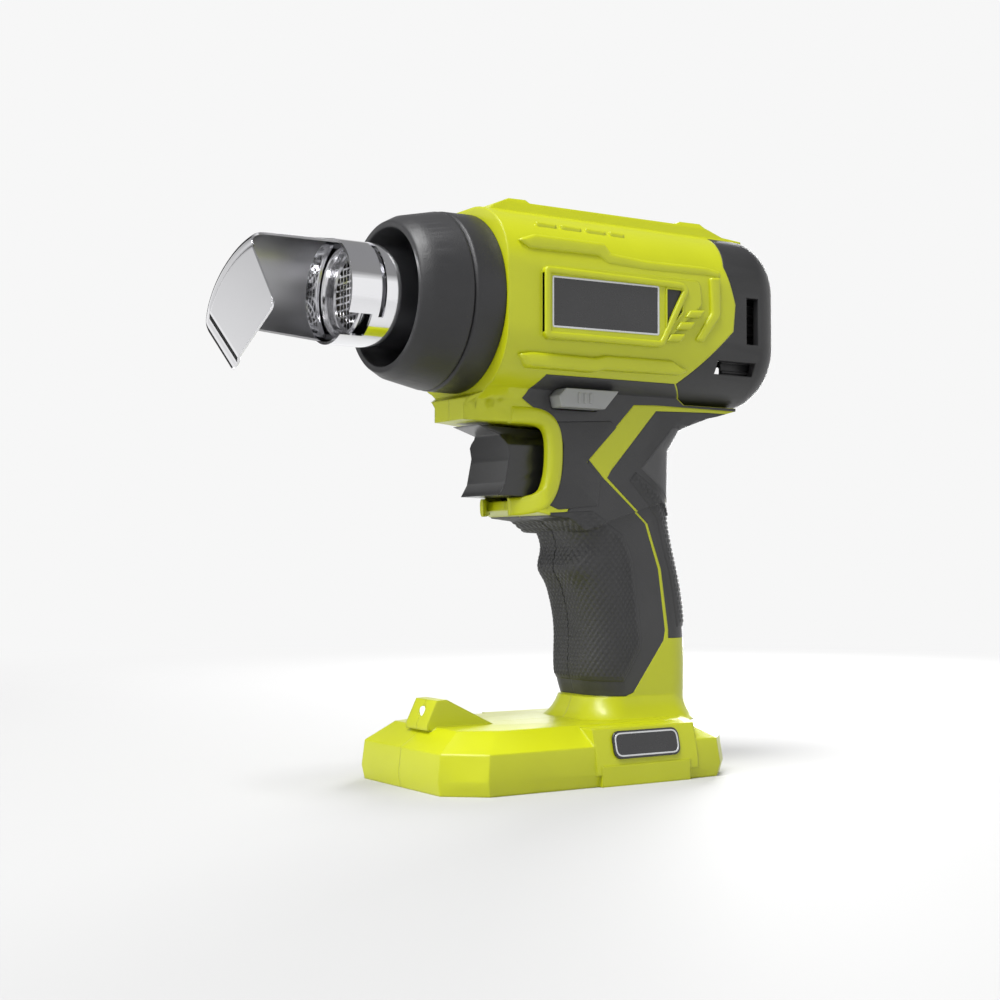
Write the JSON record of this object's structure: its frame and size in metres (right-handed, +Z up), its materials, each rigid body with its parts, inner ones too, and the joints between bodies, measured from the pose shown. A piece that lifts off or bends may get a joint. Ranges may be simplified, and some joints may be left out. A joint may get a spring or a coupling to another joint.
{
  "type": "cordless heat gun",
  "caption": "Pistol-grip cordless heat gun standing on its battery foot, with a vented rear cap, nozzle collar and chromed spoon deflector.",
  "frame": {"origin": "centre of the bounding box on the plane that the battery foot stands on", "axes": "+Z up, nozzle towards -X, +Y to the tool's own right as seen from behind the nozzle line; the y = 0 plane is the seam between the housing halves"},
  "size_m": [0.222, 0.0804, 0.2122],
  "materials": {
    "green_shell": "satin moulded lime green",
    "dark_grip": "soft grained overmould",
    "plate": "brushed dark grey plate",
    "dark_plastic": "fine grained black",
    "bright_steel": "zinc plated",
    "collar": "heat resistant black",
    "tube_steel": "polished stainless",
    "mica": "pale mica",
    "coil_wire": "resistance wire",
    "spoon_chrome": "mirror chrome",
    "motor_can": "drawn steel can",
    "bush_brass": "plain",
    "fan_plastic": "glass filled nylon",
    "trigger_plastic": "satin black",
    "grey_slide": "satin grey",
    "board": "solder resist",
    "lead_rubber": "insulated lead",
    "lens": "clear lens"
  },
  "bodies": {
    "housing": {"housing_left": "green_shell", "grip_front_left": "dark_grip", "grip_rear_left": "dark_grip", "name_plate_left": "plate", "side_window_left": "dark_plastic", "foot_badge_left": "plate", "battery_catch_left": "bright_steel", "housing_right": "green_shell", "grip_front_right": "dark_grip", "grip_rear_right": "dark_grip", "name_plate_right": "plate", "side_window_right": "dark_plastic", "foot_badge_right": "plate", "battery_catch_right": "bright_steel", "rear_cap": "dark_plastic", "collar_front": "collar", "collar_rear": "collar", "outlet_tube": "tube_steel", "outlet_mesh": "tube_steel", "mica_tube": "mica", "mica_cross": "mica", "heating_coil": "coil_wire", "heater_duct": "bright_steel", "fan_shroud": "dark_plastic", "motor_mount": "dark_plastic", "motor": "motor_can", "motor_bush": "bush_brass", "trigger_switch": "dark_plastic", "trigger_spring": "bright_steel", "terminal_block": "dark_plastic", "contact_blades": "bush_brass", "control_board": "board", "board_parts": "dark_plastic", "power_leads": "lead_rubber", "lamp_lens": "lens", "lamp_board": "board", "housing_screws": "bright_steel"},
    "rotor": {"fan": "fan_plastic", "motor_shaft": "bright_steel"},
    "nozzle_ring": {"deflector_ring": "bright_steel"},
    "nozzle_spoon": {"deflector": "spoon_chrome"},
    "trigger": {"trigger": "trigger_plastic"},
    "mode_slide": {"mode_slide": "grey_slide"}
  },
  "joints": [
    {"name": "trigger_pull", "type": "slide", "parent": "housing", "child": "trigger", "axis": [1, 0, 0], "range_m": [0, 0.006], "stiffness_N_per_m": 900, "springref_m": -0.003, "deforming": ["trigger_spring"]},
    {"name": "slide_across", "type": "slide", "parent": "housing", "child": "mode_slide", "axis": [0, 1, 0], "range_m": [0, 0.005]},
    {"name": "fan_spin", "type": "hinge", "parent": "housing", "child": "rotor", "pos_m": [0.07, 0, 0.1734], "axis": [-1, 0, 0], "continuous": true},
    {"name": "spoon_turn", "type": "hinge", "parent": "housing", "child": "nozzle_ring", "pos_m": [-0.05, 0, 0.1734], "axis": [-1, 0, 0], "continuous": true},
    {"name": "spoon_pull_off", "type": "slide", "parent": "nozzle_ring", "child": "nozzle_spoon", "axis": [-1, 0, 0], "range_m": [0, 0.034]}
  ]
}
